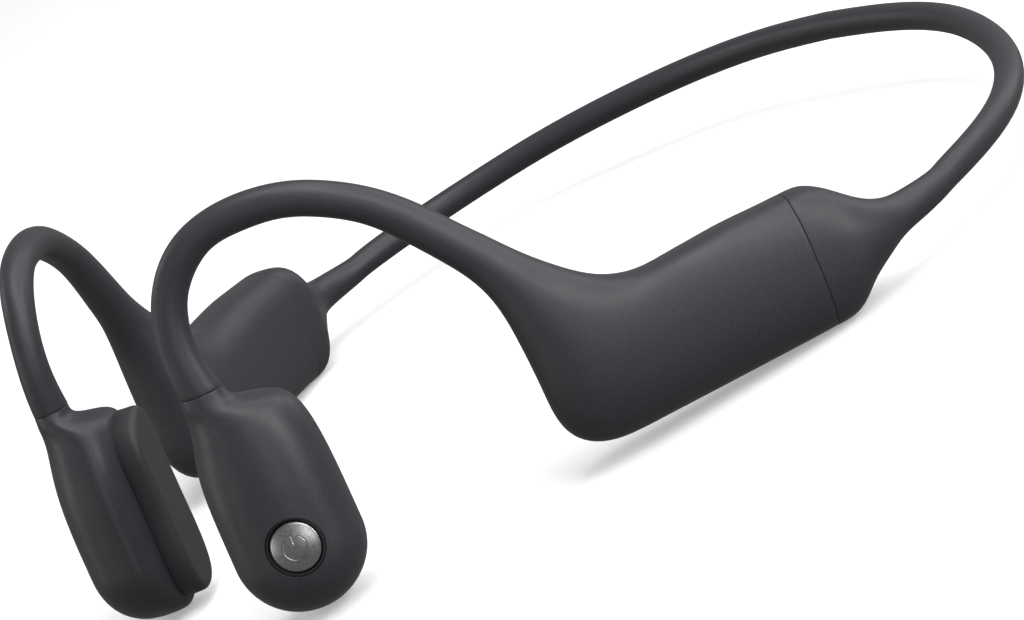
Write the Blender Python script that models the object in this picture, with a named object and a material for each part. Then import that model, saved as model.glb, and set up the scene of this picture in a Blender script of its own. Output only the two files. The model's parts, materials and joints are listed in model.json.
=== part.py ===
"""Open-ear bone conduction headphones, built as separate pieces.

Frame: +X is the wearer's left, -Y is the front, +Z is up. The headphones stand on the ground as they
do on a table, on the two transducer pods and the rear ends of the two housings. Sizes are in
millimetres and are scaled to metres as each mesh is made.

Every piece is drawn in unrolled coordinates (s, z, o) and then laid on the plan curve, which runs from
the pod round the ear and the head to the back of the neck:
  s  distance along the plan curve, 0 where the hook leaves the pod
  z  height
  o  distance outwards, away from the head
"""

import math

import bmesh
import bpy
import numpy as np
from mathutils import Matrix

MM = 0.001
LEFT, RIGHT = 1, -1

# Plan curve: heading in degrees from +Y (straight back) towards +X, at distances along the curve.
PLAN_AT = (-8, 0, 12, 30, 40, 56, 72, 80, 89, 102, 115, 130, 145.3, 162.3, 179.5)
PLAN_HEADING = (42, 39.5, 44.5, 42, 38, 32, 26, 13, -1.7, -17.4, -37.9, -56.7, -68, -84, -90)
PLAN_STEP = 0.25
BACK_OF_NECK_Y = 63.0
BACK_OF_NECK_S = PLAN_AT[-1]

REST_TILT = math.radians(-9.25)  # brings the pods and the housings' rear ends to one level
GAP = 0.3                        # left between neighbouring pieces
SKIN_WALL = 1.0                  # silicone cover
SHELL_WALL = 1.2                 # pod shell
FRAME_WALL = 0.8                 # tray inside the housing

# Ear hook and housing cover. Each row is one section: the upper rail (s, z), the lower rail (s, z),
# the half thickness, and the squareness of its inner and outer halves, where 2 is an ellipse.
HOOK_ROWS = (
    (-2.65, 13.8, 2.65, 13.8, 2.2, 2, 2),
    (-2.9, 18.8, 1.75, 18.8, 2.0, 2, 2),
    (-2.0, 23.9, 2.3, 22.9, 1.95, 2, 2),
    (0.6, 28.7, 4.0, 26.0, 2.05, 2, 2),
    (5.0, 32.3, 7.5, 28.8, 2.15, 2, 2),
    (11.1, 33.9, 11.9, 29.6, 2.15, 2, 2),
    (17.5, 33.6, 16.6, 29.4, 2.15, 2, 2),
    (23.0, 31.9, 21.05, 28.0, 2.15, 2, 2),
    (28.5, 28.8, 25.9, 25.2, 2.2, 2, 2),
    (33.0, 24.9, 29.8, 21.3, 2.35, 2, 2),
    (36.3, 21.3, 33.0, 17.5, 2.55, 2, 2),
    (39.3, 18.0, 35.45, 13.9, 2.8, 2.1, 2),
    (42.1, 14.9, 36.9, 9.8, 3.5, 2.3, 2.05),
    (45.0, 12.15, 37.5, 4.6, 4.3, 2.5, 2.1),
    (47.9, 9.9, 37.75, -0.4, 4.9, 2.7, 2.15),
    (50.8, 8.55, 38.05, -4.7, 5.3, 2.9, 2.2),
    (54.0, 8.05, 39.75, -7.9, 5.5, 3.1, 2.3),
    (57.5, 8.3, 43.7, -9.5, 5.5, 3.4, 2.35),
    (61.0, 8.6, 49.5, -9.3, 5.5, 3.7, 2.4),
    (64.6, 8.9, 56.0, -8.8, 5.5, 3.8, 2.4),
    (68.4, 9.0, 64.0, -8.2, 5.5, 3.8, 2.4),
    (72.4, 9.1, 72.4, -7.6, 5.5, 3.8, 2.4),
)
HOUSING_LEAN = 0.45              # most that a section moves inwards for each millimetre it is thicker
HOUSING_LEAN_FROM, HOUSING_LEAN_TO = 38.0, 76.0
HOOK_HALF = 2.0
HOOK_LEAN = 0.85                 # how far the top of the hook leans inwards
HOOK_LEAN_FROM, HOOK_LEAN_TO = 13.0, 27.0

# Titanium spring wire and signal cable side by side in the bore of the hooks and the band.
WIRE_OFFSET, WIRE_RADIUS, CABLE_RADIUS = 0.4, 0.32, 0.28

# Neckband: the flared end that closes the housing, then the round band.
FLARE_ROWS = (
    (72.7, 9.1, 72.7, -7.6, 5.5, 3.8, 2.4),
    (75.2, 9.0, 75.2, -7.3, 5.6, 3.7, 2.4),
    (77.3, 8.1, 77.1, -6.2, 5.5, 3.5, 2.3),
    (79.3, 6.5, 79.0, -4.5, 4.9, 3.1, 2.2),
    (81.4, 4.9, 81.6, -2.85, 3.9, 2.5, 2.1),
    (84.0, 3.8, 84.4, -1.45, 2.6, 2.1, 2),
    (87.5, 3.65, 87.9, -0.65, 2.05, 2, 2),
)
BAND_RADIUS = 1.85
BAND_WALL = 0.8
BAND_SLOPE = math.radians(12)    # how far the plane of the band rises towards the back
BAND_AT = (92, 96, 110, 124, 138, 152, 166, 179.5)
BAND_HEIGHT = (2.0, 2.8, 5.1, 7.6, 9.6, 11.1, 12.1, 12.5)

# Pod: front rail (s, z), rear rail (s, z), inner and outer reach, down to the round bottom.
POD_ROWS = (
    (-2.65, 13.5, 2.65, 13.5, -2.2, 2.2),
    (-3.0, 12.0, 3.6, 12.0, -2.7, 2.4),
    (-3.4, 10.4, 6.2, 11.0, -5.3, 2.75),
    (-3.9, 8.0, 8.95, 9.5, -6.3, 3.3),
    (-4.7, 5.0, 10.35, 5.9, -6.5, 3.95),
    (-5.15, 1.0, 10.85, 1.2, -6.5, 4.4),
    (-5.25, -3.6, 11.0, -3.6, -6.5, 4.55),
    (-5.25, -8.0, 11.05, -8.0, -6.5, 4.55),
)
POD_CENTRE_S = 2.9
POD_RADIUS = 8.15
POD_HEADING = math.radians(41.5)
POD_ROUND_Z = -8.0               # where the round bottom starts
POD_ROUND_DROP = 8.1
POD_MIDDLE = -3.0                # the widest plane of the pod
POD_INNER_POWER = 2.3            # squareness of a pod towards the skin
POD_OUTER_POWERS = (2, 2, 2, 2.05, 2.15, 2.25, 2.3, 2.3)  # and on its outer side, for each row
POD_BOTTOM_POWER = 5.0           # and of its inner side down the round bottom
CAP_SEAM = -6.0                  # the inner side is cut flat here, and the face cap stands on it
CONTACT_FACE = -9.0              # flat face that touches the skin in front of the ear
CAP_WALL = 1.0
CAP_OUTLINE = (                  # (s, z) round the cap
    (-1.4, -11), (-1.45, -4), (-1.45, 3), (-1.1, 6.1), (0.3, 8.1), (2.6, 9.5), (4.7, 10), (6.4, 9.1),
    (7.2, 6.9), (7.35, 3), (7.4, -4), (7.3, -10), (6, -13.3), (3, -14.75), (-0.1, -13.8),
)
OPENING = ((2.9, -2.4), (6.4, 20.0))  # opening of the shell under the cap: middle (s, z) and size
OPENING_CORNER = 3.15
CAP_ROUNDING = ((-0.3, 0.0), (-2.1, 0.1), (-2.7, 0.35), (-3.0, 0.9))  # (o from the seam, inset)
POD_FULLNESS = (0, 0.25, 0.6, 0.9, 1, 1, 1, 1)  # from round at the hook to square, for each row
POD_LAST_TURN = math.radians(86) # the round bottom ends in a small flat here

# What a pod holds: turned pieces as (radius, o) about the middle of the contact face.
TRANSDUCER_Z = -3.6
YOKE = ((5.6, -3.4), (5.6, 0.2), (0.9, 0.2), (0.9, -0.6), (4.9, -0.6), (4.9, -3.4))
MAGNET_RING = ((3.6, -2.9), (3.6, -0.9), (0.9, -0.9), (0.9, -2.9))
COIL = ((4.6, -3.6), (4.6, -1.4), (3.9, -1.4), (3.9, -3.6))
SUSPENSION = ((5.3, -4.3), (5.3, -3.9), (1.6, -3.9), (1.6, -4.3))
VIBRATION_PAD = ((2.8, -7.5), (2.8, -4.6), (1.2, -4.6), (1.2, -7.5))
MICROPHONE_Z = -12.2
MICROPHONE_SIZE, MICROPHONE_DEPTH = (3.4, 2.4), (-3.6, -2.5)

# Multifunction button on the left pod.
BUTTON_S, BUTTON_Z = 3.85, -6.9
BUTTON_RADIUS = 3.1
BUTTON_FACE = 4.4                # its outer face
BUTTON_RIM, BUTTON_DISH = 0.2, 0.08
BUTTON_SKIRT = 2.6
BUTTON_STEM = 0.9
SEAL_CLEARANCE, SEAL_WIDTH = 0.15, 0.3
SEAL_BASE, SEAL_TOP = 2.9, 4.1
HOLE_CLEARANCE = 0.6
BUTTON_SWITCH_SIZE, BUTTON_SWITCH_DEPTH = (3.2, 3.2), (1.3, 1.9)
BUTTON_BOARD = ((3.2, 0.5), (3.2, 1.0))

# Underside of the right housing: two volume keys, a status light between them, and the charging pad.
UNDERSIDE_O = -0.9
UNDERSIDE_S, UNDERSIDE_Z = 56, -8.8
UNDERSIDE_RISE = 0.073           # slope towards the rear
SLOT_DEPTH = (-13.0, -4.6)
VOLUME_UP_S, VOLUME_DOWN_S = 60.6, 68.2
VOLUME_KEY, KEY_CORNER = (5.2, 2.2), 1.05
KEY_RECESS, KEY_HEIGHT = 0.15, 1.9
KEY_SWITCH, KEY_SWITCH_DEPTH = (2.6, 1.6), (2.3, 3.0)
LIGHT_SIZE, LIGHT_CORNER, LIGHT_DEPTH = (1.0, 1.0), 0.45, (-7.9, -5.6)
CHARGE_S, CHARGE_FACE = 52.2, -9.1
CHARGE_PAD, CHARGE_CORNER, CHARGE_HEIGHT = (6.0, 3.0), 1.2, 1.6
PIN_SPACING, PIN_SIZE, PIN_RECESS, PIN_LENGTH = 2.8, 1.0, 0.1, 2.3

# Flat pieces in the housings: middle (s, z), size along s and z, depth in o, corner radius.
WIRE_ANCHOR = ((75.6, 0.8), (3.4, 5.0), (-3.0, 1.6), 0.8)
BATTERY = ((59.4, 0.1), (18.0, 9.0), (-3.3, 1.2), 0.8)
PROTECTION_BOARD = ((70.0, 0.4), (1.6, 7.0), (-2.6, 0.8), 0.2)
MAIN_BOARD = ((60.0, 0.5), (20.0, 8.6), (-1.6, -0.8), 0.5)
SHIELD_CAN = ((60.5, 1.2), (8.5, 6.0), (-0.5, 0.9), 0.4)

HOOK_WIRE_END = 12.6             # height in the pod where the hook's wire and cable start
HOOK_OUTER_COUNT, HOOK_INNER_COUNT = 34, 22
HOOK_ROW_COUNT = 43              # rows that the wires and frames are read at
HOOK_WIRE_ROWS = slice(0, 27, 2)
WIRE_START = 3                   # row of the flare where the band's wire starts
FRAME_ROWS = slice(34, 43)

POD_OUTER_COUNT, POD_INNER_COUNT = (12, 5), (9, 4)  # sections down the pod and down its round bottom
NECK_OUTER_COUNT, NECK_INNER_COUNT = (10, 13), (7, 10)  # sections of the flare and of the band

AROUND_SKIN = 12
AROUND_BAND = 12
AROUND_POD = 16
AROUND_CAP = 32
AROUND_RING = 20
AROUND_BUTTON = 24
WIRE_AROUND = 6


def spline(knots, values, at):
    """Natural cubic spline through the values, read at the given places."""
    knots = np.asarray(knots, float)
    values = np.asarray(values, float).reshape(len(knots), -1)
    at = np.atleast_1d(np.asarray(at, float))
    width = np.diff(knots)
    system = np.eye(len(knots))
    bends = np.zeros_like(values)
    for i in range(1, len(knots) - 1):
        system[i, i - 1:i + 2] = width[i - 1], 2 * (width[i - 1] + width[i]), width[i]
        rise = (values[i + 1] - values[i]) / width[i]
        bends[i] = 6 * (rise - (values[i] - values[i - 1]) / width[i - 1])
    bends = np.linalg.solve(system, bends)
    i = np.clip(np.searchsorted(knots, at, side="right") - 1, 0, len(knots) - 2)
    before = ((knots[i + 1] - at) / width[i])[:, None]
    after = 1 - before
    curve = (before**3 - before) * bends[i] + (after**3 - after) * bends[i + 1]
    return before * values[i] + after * values[i + 1] + curve * width[i][:, None]**2 / 6


def plan_curve():
    """Points and headings along the plan curve, ending on the middle plane at the back of the neck."""
    at = np.arange(PLAN_AT[0], BACK_OF_NECK_S + PLAN_STEP / 2, PLAN_STEP)
    heading = np.radians(spline(PLAN_AT, PLAN_HEADING, at)[:, 0])
    x = np.concatenate([[0], np.cumsum((np.sin(heading[1:]) + np.sin(heading[:-1])) / 2 * PLAN_STEP)])
    y = np.concatenate([[0], np.cumsum((np.cos(heading[1:]) + np.cos(heading[:-1])) / 2 * PLAN_STEP)])
    return at, x - x[-1], y - y[-1] + BACK_OF_NECK_Y, heading


PLAN = plan_curve()


def on_plan(points, side):
    """Unrolled points (s, z, o) as x, y, z in millimetres, on the left or the right side."""
    s, z, o = np.asarray(points, float).T
    at, plan_x, plan_y, plan_heading = PLAN
    heading = np.interp(s, at, plan_heading)
    x = np.interp(s, at, plan_x) + o * np.cos(heading)
    y = np.interp(s, at, plan_y) - o * np.sin(heading)
    return np.stack([side * x, y, z], axis=1)


def on_pod(points, side):
    """Unrolled points of a pod as x, y, z in millimetres: a pod is straight, so it lies square."""
    s, z, o = np.asarray(points, float).T
    at, plan_x, plan_y, _ = PLAN
    x = np.interp(0, at, plan_x) + s * math.sin(POD_HEADING) + o * math.cos(POD_HEADING)
    y = np.interp(0, at, plan_y) + s * math.cos(POD_HEADING) - o * math.sin(POD_HEADING)
    return np.stack([side * x, y, z], axis=1)


def ring(front, rear, inner, middle, outer, power_in, power_out, around):
    """A closed section between two rail points, reaching inner and outer from the middle plane."""
    front, rear = np.asarray(front, float), np.asarray(rear, float)
    angle = 2 * np.pi * (np.arange(around) + 0.5) / around
    along, across = np.cos(angle), np.sin(angle)
    power = np.where(across > 0, power_out, power_in)
    along = np.sign(along) * np.abs(along)**(2 / power)
    depth = np.abs(across)**(2 / power)
    o = middle + np.where(across > 0, outer - middle, inner - middle) * depth
    sz = (front + rear) / 2 + np.outer(along, (front - rear) / 2)
    return np.column_stack([sz, o])


def lean(row):
    """Place of a section's middle plane: thick sections and the top of the hook lie further in."""
    s, height = (row[0] + row[2]) / 2, (row[1] + row[3]) / 2
    rise = min(max((height - HOOK_LEAN_FROM) / (HOOK_LEAN_TO - HOOK_LEAN_FROM), 0), 1)
    back = min(max((s - HOUSING_LEAN_FROM) / (HOUSING_LEAN_TO - HOUSING_LEAN_FROM), 0), 1)
    return -HOUSING_LEAN * back * max(row[4] - HOOK_HALF, 0) - HOOK_LEAN * rise**2 * (3 - 2 * rise)


def section(row, inset, around):
    """A ring of the hook, housing or neckband, drawn in from the outside by the inset."""
    front, rear = np.array(row[0:2]), np.array(row[2:4])
    reach = (front - rear) / np.linalg.norm(front - rear) * inset
    half = row[4] - inset
    middle = lean(row)
    return ring(front - reach, rear + reach, middle - half, middle, middle + half, row[5], row[6], around)


def section_centre(row):
    """The middle of a section, where the wires run."""
    return (row[0] + row[2]) / 2, (row[1] + row[3]) / 2, lean(row)


def even_rows(rows, count):
    """The rows read at evenly spaced places on a smooth curve through them."""
    return spline(range(len(rows)), rows, np.linspace(0, len(rows) - 1, count))


def ring_faces(rings, around, closed):
    """Quads between each ring and the next."""
    faces = []
    for i in range(rings if closed else rings - 1):
        a, b = i * around, (i + 1) % rings * around
        for k in range(around):
            m = (k + 1) % around
            faces.append((a + k, a + m, b + m, b + k))
    return faces


def solid_loft(rings):
    """A closed body through the rings, with flat ends."""
    around = len(rings[0])
    faces = ring_faces(len(rings), around, closed=False)
    faces.append(tuple(range(around)))
    faces.append(tuple(range((len(rings) - 1) * around, len(rings) * around)))
    return np.vstack(rings), faces


def tube_loft(outer, inner):
    """A closed body between an outer and an inner run of rings, open at both ends."""
    rings = list(outer) + list(inner)[::-1]
    return np.vstack(rings), ring_faces(len(rings), len(rings[0]), closed=True)


def material(name, colour, roughness, metallic=0.0):
    made = bpy.data.materials.new(name)
    made.use_nodes = True
    shader = made.node_tree.nodes["Principled BSDF"]
    shader.inputs["Base Color"].default_value = (*colour, 1)
    shader.inputs["Roughness"].default_value = roughness
    shader.inputs["Metallic"].default_value = metallic
    return made


def clear_scene():
    for old in list(bpy.data.objects):
        bpy.data.objects.remove(old, do_unlink=True)


clear_scene()
rest_frame = bpy.data.objects.new("rest_frame", None)
bpy.context.collection.objects.link(rest_frame)

flex_axis = bpy.data.objects.new("left_side_flex_axis", None)
flex_axis.location = (0, BACK_OF_NECK_Y * MM, BAND_HEIGHT[-1] * MM)
flex_axis.rotation_euler = (BAND_SLOPE, 0, 0)
flex_axis.parent = rest_frame
bpy.context.collection.objects.link(flex_axis)
bpy.context.view_layer.update()

SILICONE = material("charcoal_silicone", (0.045, 0.046, 0.052), 0.55)
SHELL = material("charcoal_shell", (0.045, 0.046, 0.052), 0.5)
FACE = material("charcoal_face", (0.04, 0.041, 0.045), 0.6)
SILVER = material("silver_button", (0.6, 0.6, 0.6), 0.3, 1.0)
STEEL = material("steel", (0.55, 0.55, 0.56), 0.35, 1.0)
TITANIUM = material("titanium", (0.5, 0.48, 0.46), 0.4, 1.0)
MAGNET = material("nickel_magnet", (0.65, 0.64, 0.62), 0.25, 1.0)
COPPER = material("copper", (0.75, 0.36, 0.2), 0.35, 1.0)
GOLD = material("gold_contact", (0.85, 0.62, 0.25), 0.3, 1.0)
BOARD = material("board", (0.02, 0.12, 0.06), 0.5)
FRAME = material("inner_frame", (0.03, 0.03, 0.033), 0.6)
CELL = material("battery_pouch", (0.6, 0.62, 0.65), 0.35, 0.6)
JACKET = material("cable_jacket", (0.02, 0.02, 0.022), 0.5)
BLACK = material("black_plastic", (0.01, 0.01, 0.011), 0.4)
DIFFUSER = material("light_diffuser", (0.75, 0.75, 0.75), 0.4)


def add_object(name, world, faces, finish, parent, centre=(0, 0, 0)):
    """One named object from world points in metres, with its origin at the centre."""
    centre = np.asarray(centre, float)
    mesh = bpy.data.meshes.new(name)
    mesh.from_pydata((world - centre).tolist(), [], [tuple(map(int, face)) for face in faces])
    shape = bmesh.new()
    shape.from_mesh(mesh)
    bmesh.ops.recalc_face_normals(shape, faces=shape.faces)
    shape.to_mesh(mesh)
    shape.free()
    mesh.materials.append(finish)
    mesh.shade_smooth()
    mesh.set_sharp_from_angle(angle=math.radians(35))
    piece = bpy.data.objects.new(name, mesh)
    bpy.context.collection.objects.link(piece)
    piece.parent = parent
    piece.matrix_world = Matrix.Translation(centre)
    return piece


def add_piece(name, points, faces, side, finish, lay=on_plan, origin=None):
    """A piece in unrolled points, laid on one side of the headphones."""
    world = lay(points, side) * MM
    centre = world.mean(axis=0) if origin is None else lay([origin], side)[0] * MM
    return add_object(name, world, faces, finish, flex_axis if side == LEFT else rest_frame, centre)


def cut(piece, cutter):
    """Takes the cutter's shape out of the piece."""
    cutter.hide_render = True
    cutter.display_type = "WIRE"
    change = piece.modifiers.new(cutter.name, "BOOLEAN")
    change.operation = "DIFFERENCE"
    change.object = cutter


def slab(centre, size, depth, corner, axis, steps=4):
    """A plate with round corners in the plane across the axis, between two depths along it."""
    half = np.asarray(size, float) / 2 - corner
    quarter = np.linspace(0, np.pi / 2, steps)
    outline = []
    for turn, (sign_a, sign_b) in enumerate(((1, 1), (-1, 1), (-1, -1), (1, -1))):
        for angle in quarter + turn * np.pi / 2:
            a = centre[0] + sign_a * half[0] + corner * math.cos(angle)
            b = centre[1] + sign_b * half[1] + corner * math.sin(angle)
            outline.append((a, b))
    rings = []
    for level in depth:
        if axis == "o":
            rings.append(np.array([(a, b, level) for a, b in outline]))
        else:
            rings.append(np.array([(a, level, b) for a, b in outline]))
    return solid_loft(rings)


def turned(profile, centre, around, closed=False):
    """A body turned about the outward axis. The profile is (radius, o), o relative to the centre."""
    angle = 2 * np.pi * np.arange(around) / around
    rings = []
    for radius, o in profile:
        s = centre[0] + radius * np.cos(angle)
        z = centre[1] + radius * np.sin(angle)
        rings.append(np.column_stack([s, z, np.full(around, centre[2] + o)]))
    if closed:
        return np.vstack(rings), ring_faces(len(rings), around, closed=True)
    return solid_loft(rings)


def rod(route, radius, around=WIRE_AROUND):
    """A round rod along points (s, z, o), its sections square to the route."""
    route = np.asarray(route, float)
    forward = np.gradient(route, axis=0)
    forward /= np.linalg.norm(forward, axis=1)[:, None]
    outward = np.array([0.0, 0.0, 1.0])
    angle = 2 * np.pi * np.arange(around) / around
    rings = []
    for point, ahead in zip(route, forward):
        first = np.cross(outward, ahead)
        first /= np.linalg.norm(first)
        second = np.cross(ahead, first)
        rings.append(point + radius * (np.outer(np.cos(angle), first) + np.outer(np.sin(angle), second)))
    return solid_loft(rings)


# Pods --------------------------------------------------------------------------------------------

def pod_ring(row, inset):
    """A section of a pod, drawn in by the inset. A row ends with its fullness and outer squareness."""
    front, rear = np.array(row[0:2]), np.array(row[2:4])
    reach = (front - rear) / np.linalg.norm(front - rear) * inset
    inner, outer = row[4] + inset, row[5] - inset
    middle = (inner + outer) / 2 * (1 - row[6]) + POD_MIDDLE * row[6]
    power_in = 2 + (POD_INNER_POWER - 2) * row[6]
    return ring(front - reach, rear + reach, inner, middle, outer, power_in, row[7], AROUND_POD)


def shrink(turn, power):
    """Share of its depth that a pod keeps at a turn down its round bottom."""
    return (1 - math.sin(turn)**power)**(1 / power)


def pod_rings(inset, rows, round_steps):
    """Sections of a pod from the hook seam down to its round bottom."""
    table = [row + ends for row, ends in zip(POD_ROWS, zip(POD_FULLNESS, POD_OUTER_POWERS))]
    rings = [pod_ring(row, inset) for row in even_rows(table, rows)]
    for turn in np.linspace(0, np.pi / 2, round_steps + 1)[1:]:
        turn = min(turn, POD_LAST_TURN)
        half = (POD_RADIUS - inset) * math.cos(turn)
        z = POD_ROUND_Z - (POD_ROUND_DROP - inset) * math.sin(turn)
        inner = (POD_ROWS[-1][4] + inset - POD_MIDDLE) * shrink(turn, POD_BOTTOM_POWER)
        outer = (POD_ROWS[-1][5] - inset - POD_MIDDLE) * shrink(turn, POD_OUTER_POWERS[-1])
        front, rear = (POD_CENTRE_S - half, z), (POD_CENTRE_S + half, z)
        rings.append(ring(front, rear, POD_MIDDLE + inner, POD_MIDDLE, POD_MIDDLE + outer,
                          POD_INNER_POWER, POD_OUTER_POWERS[-1], AROUND_POD))
    return rings


def cut_flat(points, faces, level):
    """The part of a closed body outwards of a plane of constant o, closed again with a flat face."""
    shape = bmesh.new()
    for point in points:
        shape.verts.new(point)
    shape.verts.ensure_lookup_table()
    for face in faces:
        shape.faces.new([shape.verts[i] for i in face])
    everything = shape.verts[:] + shape.edges[:] + shape.faces[:]
    done = bmesh.ops.bisect_plane(shape, geom=everything, plane_co=(0, 0, level), plane_no=(0, 0, -1),
                                  clear_outer=True)
    rim = [item for item in done["geom_cut"] if isinstance(item, bmesh.types.BMEdge)]
    bmesh.ops.contextual_create(shape, geom=rim)
    shape.verts.index_update()
    points = np.array([vert.co[:] for vert in shape.verts])
    faces = [tuple(vert.index for vert in face.verts) for face in shape.faces]
    shape.free()
    return points, faces


def closed_outline(points, count):
    """A smooth closed outline through the points, with evenly spaced places."""
    points = np.asarray(points, float)
    three = np.vstack([points, points, points, points[:1]])
    length = np.concatenate([[0], np.cumsum(np.linalg.norm(np.diff(three, axis=0), axis=1))])
    turn = length[-1] / 3
    return spline(length, three, turn + np.linspace(0, turn, count, endpoint=False))


def drawn_in(outline, inset, o):
    """An outline (s, z), running clockwise, moved inwards by the inset, as a ring at one depth."""
    ahead = np.roll(outline, -1, axis=0) - np.roll(outline, 1, axis=0)
    ahead /= np.linalg.norm(ahead, axis=1)[:, None]
    inwards = np.column_stack([ahead[:, 1], -ahead[:, 0]])
    return np.column_stack([outline + inwards * inset, np.full(len(outline), o)])


def add_pod(side, word):
    solid = solid_loft(pod_rings(0, *POD_OUTER_COUNT))
    shell = add_piece(word + "_transducer_shell", *cut_flat(*solid, CAP_SEAM), side, SHELL, on_pod)
    hollow = pod_rings(SHELL_WALL, *POD_INNER_COUNT)
    mouth = hollow[0] + (0, 2, 0)
    cut(shell, add_piece(word + "_pod_cavity", *solid_loft([mouth] + hollow), side, BLACK, on_pod))
    opening = slab(*OPENING, (CAP_SEAM - SHELL_WALL, CAP_SEAM + 2 * SHELL_WALL), OPENING_CORNER, "o")
    cut(shell, add_piece(word + "_pod_opening", *opening, side, BLACK, on_pod))
    outline = closed_outline(CAP_OUTLINE, AROUND_CAP)
    rings = [drawn_in(outline, CAP_WALL, level) for level in (CONTACT_FACE + CAP_WALL, CAP_SEAM - GAP)]
    rings += [drawn_in(outline, inset, CAP_SEAM + step) for step, inset in CAP_ROUNDING]
    add_piece(word + "_face_cap", *solid_loft(rings), side, FACE, on_pod)
    centre = (POD_CENTRE_S, TRANSDUCER_Z, 0)
    for name, profile, finish in (("yoke", YOKE, STEEL), ("magnet", MAGNET_RING, MAGNET)):
        points, faces = turned(profile, centre, AROUND_RING, closed=True)
        add_piece(f"{word}_transducer_{name}", points, faces, side, finish, on_pod)
    for name, profile, finish in (("voice_coil", COIL, COPPER), ("suspension_spring", SUSPENSION, STEEL),
                                  ("vibration_pad", VIBRATION_PAD, FRAME)):
        points, faces = turned(profile, centre, AROUND_RING, closed=True)
        add_piece(f"{word}_{name}", points, faces, side, finish, on_pod)
    microphone = slab((POD_CENTRE_S, MICROPHONE_Z), MICROPHONE_SIZE, MICROPHONE_DEPTH, 0.3, "o", 3)
    add_piece(word + "_microphone", *microphone, side, STEEL, on_pod)
    return shell


# Hooks, housings and neckband --------------------------------------------------------------------

def add_hook(side, word):
    outer = [section(row, 0, AROUND_SKIN) for row in even_rows(HOOK_ROWS, HOOK_OUTER_COUNT)]
    inner = [section(row, SKIN_WALL, AROUND_SKIN) for row in even_rows(HOOK_ROWS, HOOK_INNER_COUNT)]
    skin = add_piece(word + "_hook_and_housing_cover", *tube_loft(outer, inner), side, SILICONE)

    rows = even_rows(HOOK_ROWS, HOOK_ROW_COUNT)
    centres = [section_centre(row) for row in rows[HOOK_WIRE_ROWS]]
    route = [(0.0, HOOK_WIRE_END, centres[0][2])] + centres
    wire = [np.add(point, (0, 0, WIRE_OFFSET)) for point in route]
    cable = [np.add(point, (0, 0, -WIRE_OFFSET)) for point in route]
    add_piece(word + "_hook_wire", *rod(wire, WIRE_RADIUS), side, TITANIUM)
    add_piece(word + "_hook_cable", *rod(cable, CABLE_RADIUS), side, JACKET)

    frame_outer = [section(row, SKIN_WALL + GAP, AROUND_SKIN) for row in rows[FRAME_ROWS]]
    frame_inner = [section(row, SKIN_WALL + GAP + FRAME_WALL, AROUND_SKIN) for row in rows[FRAME_ROWS]]
    frame = add_piece(word + "_housing_frame", *tube_loft(frame_outer, frame_inner), side, FRAME)
    return skin, frame


def neckband_rows(flare_count, band_count):
    """Rows of the flare and of the round band behind it, each evenly spaced."""
    band = [(s, z + BAND_RADIUS, s, z - BAND_RADIUS, BAND_RADIUS, 2, 2)
            for s, z in zip(BAND_AT, BAND_HEIGHT)]
    rows = np.array(list(FLARE_ROWS) + band)
    flare_end = len(FLARE_ROWS) - 1
    places = np.linspace(0, flare_end, flare_count)
    places = np.concatenate([places, np.linspace(flare_end + 1, len(rows) - 1, band_count)])
    return spline(range(len(rows)), rows, places)


def both_sides(rings):
    """World points of a run of rings on the left side, carried on to the same run on the right."""
    left = [on_plan(points, LEFT) for points in rings]
    right = [on_plan(points, RIGHT) for points in rings[:-1]]
    return left + right[::-1]


def add_neckband():
    outer = both_sides([section(row, 0, AROUND_BAND) for row in neckband_rows(*NECK_OUTER_COUNT)])
    inner = both_sides([section(row, BAND_WALL, AROUND_BAND) for row in neckband_rows(*NECK_INNER_COUNT)])
    points, faces = tube_loft(outer, inner)
    add_object("neckband_cover", points * MM, faces, SILICONE, rest_frame)
    rows = neckband_rows(*NECK_INNER_COUNT)[WIRE_START:]
    angle = 2 * np.pi * np.arange(WIRE_AROUND) / WIRE_AROUND
    for name, offset, radius, finish in (("neckband_wire", WIRE_OFFSET, WIRE_RADIUS, TITANIUM),
                                         ("neckband_cable", -WIRE_OFFSET, CABLE_RADIUS, JACKET)):
        rings = []
        for s, z, o in map(section_centre, rows):
            across = z + radius * np.cos(angle), o + offset + radius * np.sin(angle)
            rings.append(np.column_stack([np.full(WIRE_AROUND, s), *across]))
        points, faces = solid_loft(both_sides(rings))
        add_object(name, points * MM, faces, finish, rest_frame)


# Multifunction button on the left pod -------------------------------------------------------------

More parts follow.
